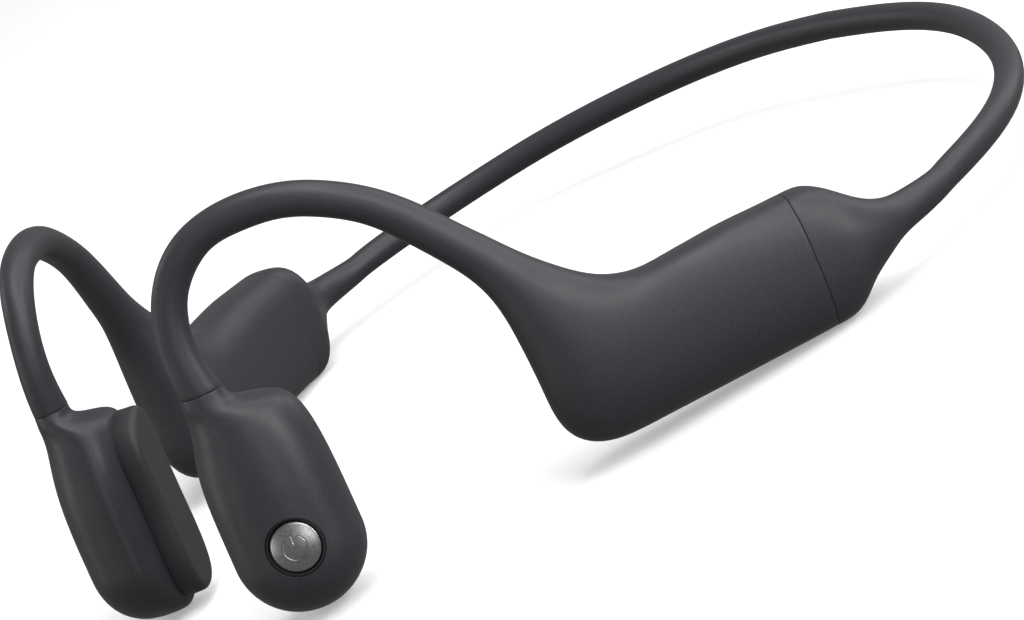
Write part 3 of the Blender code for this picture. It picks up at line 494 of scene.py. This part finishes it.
SLOT_FINISH = {
    "charcoal_silicone": SILICONE, "charcoal_shell": SHELL, "charcoal_face": FACE, "silver_button": ALLOY,
    "black_seal": SEAL, "black_plastic": BLACK, "steel": STEEL, "titanium": TITANIUM,
    "nickel_magnet": MAGNET, "copper_winding": COPPER, "gold_contact": GOLD, "circuit_board": BOARD,
    "battery_pouch": POUCH, "cable_jacket": JACKET, "inner_frame": INNER, "light_diffuser": DIFFUSER,
}

for subpart in frame["record"]["subparts"]:
    node = frame["nodes"][subpart["node"]]
    node.data.materials.clear()
    node.data.materials.append(SLOT_FINISH[subpart["material_slot"]])


# Hooks and housings ------------------------------------------------------------------------------

def hook_outer():
    """Outer sections of a hook and housing, with a small rounded rim at both seams."""
    rows = even_rows(HOOK_ROWS, HOOK_OUTER_COUNT)
    start = [section(rows[0], inset) - (0, step, 0) for inset, step in LIP[:0:-1]]
    end = [section(rows[-1], inset) + (step, 0, 0) for inset, step in LIP[1:]]
    return start + [section(row, 0) for row in rows] + end


def slab(centre, size, depth, corner, axis, steps=8):
    """A plate with round corners in the plane across the axis. depth holds (place, inset) pairs."""
    quarter_turn = np.linspace(0, np.pi / 2, steps)
    rings = []
    for level, inset in depth:
        half = np.asarray(size, float) / 2 - corner
        radius = corner - inset
        points = []
        for turn, (sign_a, sign_b) in enumerate(((1, 1), (-1, 1), (-1, -1), (1, -1))):
            for angle in quarter_turn + turn * np.pi / 2:
                a = centre[0] + sign_a * half[0] + radius * math.cos(angle)
                b = centre[1] + sign_b * half[1] + radius * math.sin(angle)
                points.append((a, b, level) if axis == "o" else (a, level, b))
        rings.append(np.array(points))
    return solid_loft(rings)


def straight(depth):
    """The edge of a plate with straight sides between two depths."""
    return [(level, 0) for level in depth]


def raised_edge(edge, face):
    """The edge of a plate, moved from its own face to the height of the face."""
    return [(face + step, inset) for step, inset in edge]


def key_face(s):
    return UNDERSIDE_Z + UNDERSIDE_RISE * (s - UNDERSIDE_S) + KEY_RECESS


def under_cutters():
    """Slots through the right housing's underside for the keys, the light and the charging pad."""
    cutters = []
    for name, s, size, corner in (("up", VOLUME_UP_S, VOLUME_KEY, VOLUME_KEY_CORNER),
                                  ("down", VOLUME_DOWN_S, VOLUME_KEY, VOLUME_KEY_CORNER),
                                  ("light", LIGHT_S, LIGHT_PIPE, LIGHT_CORNER),
                                  ("charge", CHARGE_S, CHARGE_PAD, CHARGE_CORNER)):
        size = (size[0] + 2 * KEY_GAP, size[1] + 2 * KEY_GAP)
        points, faces = slab((s, UNDERSIDE_O), size, straight(SLOT_DEPTH), corner + KEY_GAP, "z")
        cutters.append(new_object("slot_" + name, on_plan(points, RIGHT), faces))
    return cutters


def add_hook(side, word):
    outer = hook_outer()
    inner = [section(row, SKIN_WALL) for row in even_rows(HOOK_ROWS, HOOK_INNER_COUNT)]
    inner[0] = inner[0] - (0, LIP[-1][1], 0)
    inner[-1] = inner[-1] + (LIP[-1][1], 0, 0)
    points, faces = tube_loft(outer, inner)
    skin = new_object(word + "_hook_and_housing_skin", on_plan(points, side), faces, SILICONE)
    if side == RIGHT:
        apply_cuts(skin, under_cutters())
    place(skin, word + "_side", word + "_hook_and_housing_cover")


add_hook(LEFT, "left")
add_hook(RIGHT, "right")


# Neckband ----------------------------------------------------------------------------------------

def neckband_rows(count):
    band = [(s, z + BAND_RADIUS, s, z - BAND_RADIUS, BAND_RADIUS, 2, 2) for s, z in zip(BAND_AT, BAND_HEIGHT)]
    return even_rows(list(FLARE_ROWS) + band, count)


def both_sides(rings):
    """Sections of the left half, then of the right half, as one run from side to side."""
    left = [on_plan(points, LEFT) for points in rings]
    right = [on_plan(points, RIGHT) for points in rings[:-1]]
    return left + right[::-1]


def bend(piece, node):
    """Bakes the piece's transform into its mesh and hides the CAD node it stands for."""
    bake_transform(piece)
    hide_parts(node)


def add_neckband():
    rows = neckband_rows(BAND_OUTER_COUNT)
    outer = [section(row, 0) for row in rows]
    lips = [section(rows[0], inset) - (step, 0, 0) for inset, step in LIP[:0:-1]]
    inner = [section(row, BAND_WALL) for row in neckband_rows(BAND_INNER_COUNT)]
    inner[0] = inner[0] - (LIP[-1][1], 0, 0)
    points, faces = tube_loft(both_sides(lips + outer), both_sides(inner))
    bend(new_object("neckband_skin", points, faces, SILICONE), "neckband_cover")
    for name, node, offset, radius, finish, slot in (
            ("neckband_spring_wire", "neckband_wire", WIRE_OFFSET, WIRE_RADIUS, TITANIUM, "titanium"),
            ("neckband_signal_cable", "neckband_cable", -WIRE_OFFSET, CABLE_RADIUS, JACKET, "cable_jacket")):
        angle = 2 * np.pi * np.arange(AROUND_WIRE) / AROUND_WIRE
        rings = []
        for s, z, o in map(section_centre, rows):
            if s >= WIRE_START_S:
                rings.append(np.column_stack([np.full(AROUND_WIRE, s), z + radius * np.cos(angle),
                                              o + offset + radius * np.sin(angle)]))
        points, faces = solid_loft(both_sides(rings))
        bend(new_object(name, points, faces, finish), node)


add_neckband()


# Pods --------------------------------------------------------------------------------------------

def pod_ring(row, inset, steps):
    """A section of a pod, drawn in by the inset."""
    front, rear = np.array(row[0:2]), np.array(row[2:4])
    reach = (front - rear) / np.linalg.norm(front - rear) * inset
    full = min(max(row[6], 0), 1)
    inner, outer = row[4] + inset, row[5] - inset
    middle = (inner + outer) / 2 * (1 - full) + POD_MIDDLE * full
    power_in = 2 + (POD_INNER_POWER - 2) * full
    return ring(front - reach, rear + reach, inner, middle, outer, power_in, row[7], steps)


def pod_rings(inset, rows, round_steps, steps):
    """Sections of a pod from the hook seam down to its round bottom."""
    rings = [pod_ring(row, inset, steps) for row in even_rows(POD_ROWS, rows)]
    for turn in np.linspace(0, np.pi / 2, round_steps + 1)[1:]:
        half = (POD_RADIUS - inset) * math.cos(turn)
        z = POD_ROUND_Z - (POD_ROUND_DROP - inset) * math.sin(turn)
        shrink_in = max(1 - math.sin(turn)**POD_BOTTOM_POWER, 0)**(1 / POD_BOTTOM_POWER)
        shrink_out = max(1 - math.sin(turn)**POD_OUTER_POWER, 0)**(1 / POD_OUTER_POWER)
        inner = POD_MIDDLE + (POD_ROWS[-1][4] + inset - POD_MIDDLE) * shrink_in
        outer = POD_MIDDLE + (POD_ROWS[-1][5] - inset - POD_MIDDLE) * shrink_out
        front, rear = (POD_CENTRE_S - half, z), (POD_CENTRE_S + half, z)
        rings.append(ring(front, rear, inner, POD_MIDDLE, outer, POD_INNER_POWER, POD_OUTER_POWER, steps))
    return rings


def cut_flat(points, faces, level):
    """The part of a closed body outwards of a plane of constant o, closed again with a flat face."""
    shape = bmesh.new()
    for point in points:
        shape.verts.new(point)
    shape.verts.ensure_lookup_table()
    for face in faces:
        shape.faces.new([shape.verts[i] for i in face])
    bmesh.ops.remove_doubles(shape, verts=shape.verts, dist=1e-4)
    everything = shape.verts[:] + shape.edges[:] + shape.faces[:]
    done = bmesh.ops.bisect_plane(shape, geom=everything, plane_co=(0, 0, level), plane_no=(0, 0, -1),
                                  clear_outer=True)
    rim = [item for item in done["geom_cut"] if isinstance(item, bmesh.types.BMEdge)]
    bmesh.ops.contextual_create(shape, geom=rim)
    shape.verts.index_update()
    points = np.array([vert.co[:] for vert in shape.verts])
    faces = [tuple(vert.index for vert in face.verts) for face in shape.faces]
    shape.free()
    return points, faces


def closed_outline(points, count):
    """A smooth closed outline through the points, with evenly spaced places."""
    points = np.asarray(points, float)
    three = np.vstack([points, points, points, points[:1]])
    length = np.concatenate([[0], np.cumsum(np.linalg.norm(np.diff(three, axis=0), axis=1))])
    turn = length[-1] / 3
    return spline(length, three, turn + np.linspace(0, turn, count, endpoint=False))


def drawn_in(outline, inset, o):
    """An outline (s, z), running clockwise, moved inwards by the inset, as a ring at one depth."""
    ahead = np.roll(outline, -1, axis=0) - np.roll(outline, 1, axis=0)
    ahead /= np.linalg.norm(ahead, axis=1)[:, None]
    inwards = np.column_stack([ahead[:, 1], -ahead[:, 0]])
    return np.column_stack([outline + inwards * inset, np.full(len(outline), o)])


def turned(profile, centre, around, closed=False):
    """A body turned about the outward axis. The profile is (radius, o), o relative to the centre."""
    angle = 2 * np.pi * np.arange(around) / around
    rings = []
    for radius, o in profile:
        s = centre[0] + radius * np.cos(angle)
        z = centre[1] + radius * np.sin(angle)
        rings.append(np.column_stack([s, z, np.full(around, centre[2] + o)]))
    if closed:
        return np.vstack(rings), ring_faces(len(rings), around, closed=True)
    return solid_loft(rings)


def cap_rings(outline):
    """The face cap: a thin-walled raised tray with a rounded edge, from its hollow back to its face."""
    back = CAP_SEAM + CAP_FOOT[0][0]
    rings = [drawn_in(outline, CAP_WALL, level) for level in (CONTACT_FACE + CAP_WALL, back)]
    rings += [drawn_in(outline, inset, CAP_SEAM + step) for step, inset in CAP_FOOT]
    for turn in np.linspace(0, np.pi / 2, 12):
        inset = CAP_DRAFT + CAP_ROUND * (1 - math.cos(turn))
        rings.append(drawn_in(outline, inset, CONTACT_FACE + CAP_ROUND * (1 - math.sin(turn))))
    rings.append(drawn_in(outline, CAP_DRAFT + CAP_ROUND + CAP_FLAT, CONTACT_FACE))
    return rings


def pod_cutters(side):
    """The inside of a pod, its opening under the cap, the sound port and, on the left, the button's hole."""
    hollow = pod_rings(SHELL_WALL, *POD_INNER_COUNT)
    hollow = solid_loft([hollow[0] + (0, 2, 0)] + hollow)
    opening = slab(*OPENING, straight(OPENING_DEPTH), OPENING_CORNER, "o")
    port = slab((0, 0), PORT_SIZE, straight(PORT_DEPTH), PORT_CORNER, "z", 6)
    port = (port[0][:, [2, 1, 0]] + (POD_CENTRE_S, 0, PORT_O), port[1])
    bodies = {"cavity": hollow, "opening": opening, "port": port}
    if side == LEFT:
        profile = [(BUTTON_RADIUS + BUTTON_HOLE, o) for o in BUTTON_HOLE_DEPTH]
        bodies["button_hole"] = turned(profile, (BUTTON_S, BUTTON_Z, 0), AROUND_BUTTON)
    return [new_object(name, on_pod(points, side), faces) for name, (points, faces) in bodies.items()]


def add_pod(side, word):
    rings = pod_rings(0, *POD_OUTER_COUNT)
    top = np.array(POD_ROWS[0], float)
    crown = [pod_ring(top, inset, POD_OUTER_COUNT[2]) + (0, step, 0) for inset, step in LIP[:0:-1]]
    points, faces = cut_flat(*solid_loft(crown + rings), CAP_SEAM)
    shell = new_object(word + "_pod_shell", on_pod(points, side), faces, SHELL, SHELL_EDGE)
    points, faces = solid_loft(cap_rings(closed_outline(CAP_OUTLINE, CAP_COUNT)))
    cap = new_object(word + "_pod_face", on_pod(points, side), faces, FACE, HARD_EDGE)
    apply_cuts(shell, pod_cutters(side), SHELL_EDGE)
    place(shell, word + "_side", word + "_transducer_shell")
    place(cap, word + "_side", word + "_face_cap")


add_pod(LEFT, "left")
add_pod(RIGHT, "right")


# Button, keys and underside ----------------------------------------------------------------------

def add_button():
    """A domed disc with an engraved power symbol, in a dark seal ring."""
    centre = (BUTTON_S, BUTTON_Z, 0)
    rim = BUTTON_FACE - BUTTON_DOME
    profile = list(BUTTON_BACK)
    for turn in np.linspace(0, 0.8 * np.pi / 2, 6):
        profile.append((BUTTON_RADIUS - BUTTON_EDGE + BUTTON_EDGE * math.cos(turn),
                        rim - BUTTON_EDGE + BUTTON_EDGE * math.sin(turn)))
    for radius in np.linspace(BUTTON_RADIUS - 0.2, 0.05, 26):
        profile.append((radius, BUTTON_FACE - BUTTON_DOME * (radius / BUTTON_RADIUS)**2))
    points, faces = turned(profile, centre, AROUND_BUTTON)
    button = new_object("multifunction_button_cap", on_pod(points, LEFT), faces, ALLOY, HARD_EDGE)
    cutters = []
    angle = np.radians(np.linspace(*ICON_ARC, 60))
    arc = ICON_RADIUS * np.column_stack([np.cos(angle), np.sin(angle)])
    bar = np.column_stack([np.zeros(8), np.linspace(*ICON_BAR, 8) * ICON_RADIUS])
    for name, route in (("arc", arc), ("bar", bar)):
        height = BUTTON_FACE - BUTTON_DOME * np.sum(route**2, axis=1) / BUTTON_RADIUS**2
        route = np.column_stack([BUTTON_S + route[:, 0], BUTTON_Z + route[:, 1], height])
        points, faces = groove(route, ICON_LINE)
        cutters.append(new_object("icon_" + name, on_pod(points, LEFT), faces))
    apply_cuts(button, cutters, HARD_EDGE)
    place(button, "multifunction_key", "multifunction_button")

    crest, shoulder = (BUTTON_FACE - drop for drop in SEAL_DROP)
    profile = [(SEAL_OUTER, SEAL_BACK), (SEAL_OUTER, shoulder), (SEAL_OUTER - SEAL_CHAMFER, crest),
               (SEAL_INNER + SEAL_CHAMFER, crest), (SEAL_INNER, shoulder), (SEAL_INNER, SEAL_BACK)]
    points, faces = turned(profile, centre, AROUND_BUTTON, closed=True)
    seal = new_object("button_seal", on_pod(points, LEFT), faces, SEAL)
    place(seal, "left_side", "button_seal_ring")


def groove(route, radius, around=10):
    """A rod with tapered ends along a route, used to engrave."""
    forward = np.gradient(route, axis=0)
    forward /= np.linalg.norm(forward, axis=1)[:, None]
    angle = 2 * np.pi * (np.arange(around) + 0.5) / around
    rings = []
    for i, (point, ahead) in enumerate(zip(route, forward)):
        first = np.cross((0.0, 0.0, 1.0), ahead)
        size = radius * (0.6 if i in (0, len(route) - 1) else 1)
        rings.append(point + size * (np.outer(np.cos(angle), first) + np.outer(np.sin(angle), (0, 0, 1))))
    return solid_loft(rings)


def under_plate(name, s, size, edge, corner, finish=None, steps=8):
    """A small plate in the right housing's underside."""
    points, faces = slab((s, UNDERSIDE_O), size, edge, corner, "z", steps)
    return new_object(name, on_plan(points, RIGHT), faces, finish)


def add_volume_key(name, s, marks):
    face = key_face(s)
    edge = raised_edge(VOLUME_KEY_EDGE, face)
    key = under_plate(name + "_key", s, VOLUME_KEY, edge, VOLUME_KEY_CORNER, SILICONE)
    depth = straight((face - 0.5, face + MARK_DEPTH))
    cutters = [under_plate(f"mark_{i}", s, size, depth, 0.1, steps=4) for i, size in enumerate(marks)]
    apply_cuts(key, cutters)
    place(key, name + "_key", name + "_button")


def add_charging_contacts():
    edge = raised_edge(CHARGE_PAD_EDGE, CHARGE_FACE)
    pad = under_plate("charging_contact_pad", CHARGE_S, CHARGE_PAD, edge, CHARGE_CORNER, BLACK)
    holes = []
    for word, shift in (("front", -PIN_SHIFT), ("rear", PIN_SHIFT)):
        name, s = "charging_contact_" + word, CHARGE_S + shift
        through = straight((CHARGE_FACE - 1, CHARGE_FACE + 3))
        holes.append(under_plate(name + "_hole", s, PIN_HOLE, through, PIN_HOLE_CORNER))
        pin = under_plate(name, s, PIN_SIZE, raised_edge(PIN_EDGE, CHARGE_FACE), PIN_CORNER, GOLD)
        place(pin, "right_side", "charging_pin_" + word)
    apply_cuts(pad, holes)
    place(pad, "right_side", "charging_pad")


def add_underside():
    bar, post = (MARK_LONG, MARK_WIDE), (MARK_WIDE, MARK_LONG)
    add_volume_key("volume_up", VOLUME_UP_S, (bar, post))
    add_volume_key("volume_down", VOLUME_DOWN_S, (bar,))
    edge = raised_edge(LIGHT_PIPE_EDGE, LIGHT_FACE)
    light = under_plate("status_light", LIGHT_S, LIGHT_PIPE, edge, LIGHT_CORNER, DIFFUSER)
    place(light, "right_side", "status_light_pipe")
    add_charging_contacts()


add_button()
add_underside()


# Stage -------------------------------------------------------------------------------------------

FLOOR_HALF, FLOOR_GLOW, FLOOR_DROP = 6.0, 0.3, 0.00005


def add_stage():
    """A wide pale floor with a faint glow of its own, just under the headphones."""
    half, z = FLOOR_HALF, min(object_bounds()[0][2], 0.0) - FLOOR_DROP
    points = [(-half, -half, z), (half, -half, z), (half, half, z), (-half, half, z)]
    white = shader("pale_floor", (0.86, 0.86, 0.86), 0.9, Specular_IOR_Level=0.1,
                   Emission_Strength=FLOOR_GLOW)
    white.node_tree.nodes["Principled BSDF"].inputs["Emission Color"].default_value = (1, 1, 1, 1)
    floor = new_object("floor", points, [(0, 1, 2, 3)], white)
    floor.visible_diffuse = False
    floor.visible_glossy = False


LIGHT_SIZE, LIGHT_DISTANCE, LIGHT_AIM = 0.32, 0.8, Vector((0, 0, 0.025))
WORLD_STRENGTH = 0.2
SOFT_BOXES = (  # name, azimuth and elevation in degrees, watts
    ("low_side", 106, 8, 1.85), ("overhead", 120, 82, 1.85), ("high_side", 90, 58, 1.6),
    ("mid_side", 90, 32, 1.2), ("mid_side_fill", 120, 32, 1.3), ("high_back", 180, 58, 0.85),
    ("mid_back_side", 150, 32, 0.8), ("front_fill", 300, 32, 0.7), ("low_front_fill", 324, 8, 0.65),
    ("low_camera_side", 61, 6, 0.6), ("mid_back", 180, 32, 0.55), ("low_back", 180, 8, 0.5),
    ("low_front", 0, 8, 0.4), ("mid_camera_side", 60, 32, 0.35),
)


def towards(azimuth, elevation):
    """The direction at an azimuth and elevation. At azimuth 0 it points to the front."""
    return Vector((math.sin(azimuth) * math.cos(elevation), -math.cos(azimuth) * math.cos(elevation),
                   math.sin(elevation)))


def add_light(name, azimuth, elevation, power):
    """A round soft box that faces the headphones."""
    away = towards(math.radians(azimuth), math.radians(elevation))
    data = bpy.data.lights.new(name, "AREA")
    data.shape = "DISK"
    data.size = LIGHT_SIZE
    data.energy = power
    lamp = bpy.data.objects.new(name, data)
    bpy.context.collection.objects.link(lamp)
    lamp.location = LIGHT_AIM + away * LIGHT_DISTANCE
    lamp.rotation_euler = away.to_track_quat("Z", "Y").to_euler()


CAMERA_AZIMUTH, CAMERA_ELEVATION, CAMERA_ROLL = (math.radians(a) for a in (58.0, 10.125, -23.216))
CAMERA_DISTANCE = 0.6572
CAMERA_LENS, CAMERA_SENSOR = 182.3, 36.0


def add_camera():
    """The view of the worn headphones from the left front, rolled, and moved with them to rest."""
    back = towards(CAMERA_AZIMUTH, CAMERA_ELEVATION)
    level = Vector((math.cos(CAMERA_AZIMUTH), math.sin(CAMERA_AZIMUTH), 0))
    right = level * math.cos(CAMERA_ROLL) + back.cross(level) * math.sin(CAMERA_ROLL)
    up = back.cross(right)
    turn = Matrix((right, up, back)).transposed().to_4x4()
    data = bpy.data.cameras.new("view")
    data.lens = CAMERA_LENS
    data.sensor_width = CAMERA_SENSOR
    data.clip_start = 0.01
    camera = bpy.data.objects.new("view", data)
    bpy.context.collection.objects.link(camera)
    camera.matrix_world = REST @ Matrix.Translation(back * CAMERA_DISTANCE) @ turn
    bpy.context.scene.camera = camera


add_stage()
add_camera()
for soft_box in SOFT_BOXES:
    add_light(*soft_box)

world = bpy.data.worlds.new("studio")
bpy.context.scene.world = world
world.use_nodes = True
world.node_tree.nodes["Background"].inputs["Color"].default_value = (1, 1, 1, 1)
world.node_tree.nodes["Background"].inputs["Strength"].default_value = WORLD_STRENGTH
bpy.context.scene.view_settings.view_transform = "Standard"
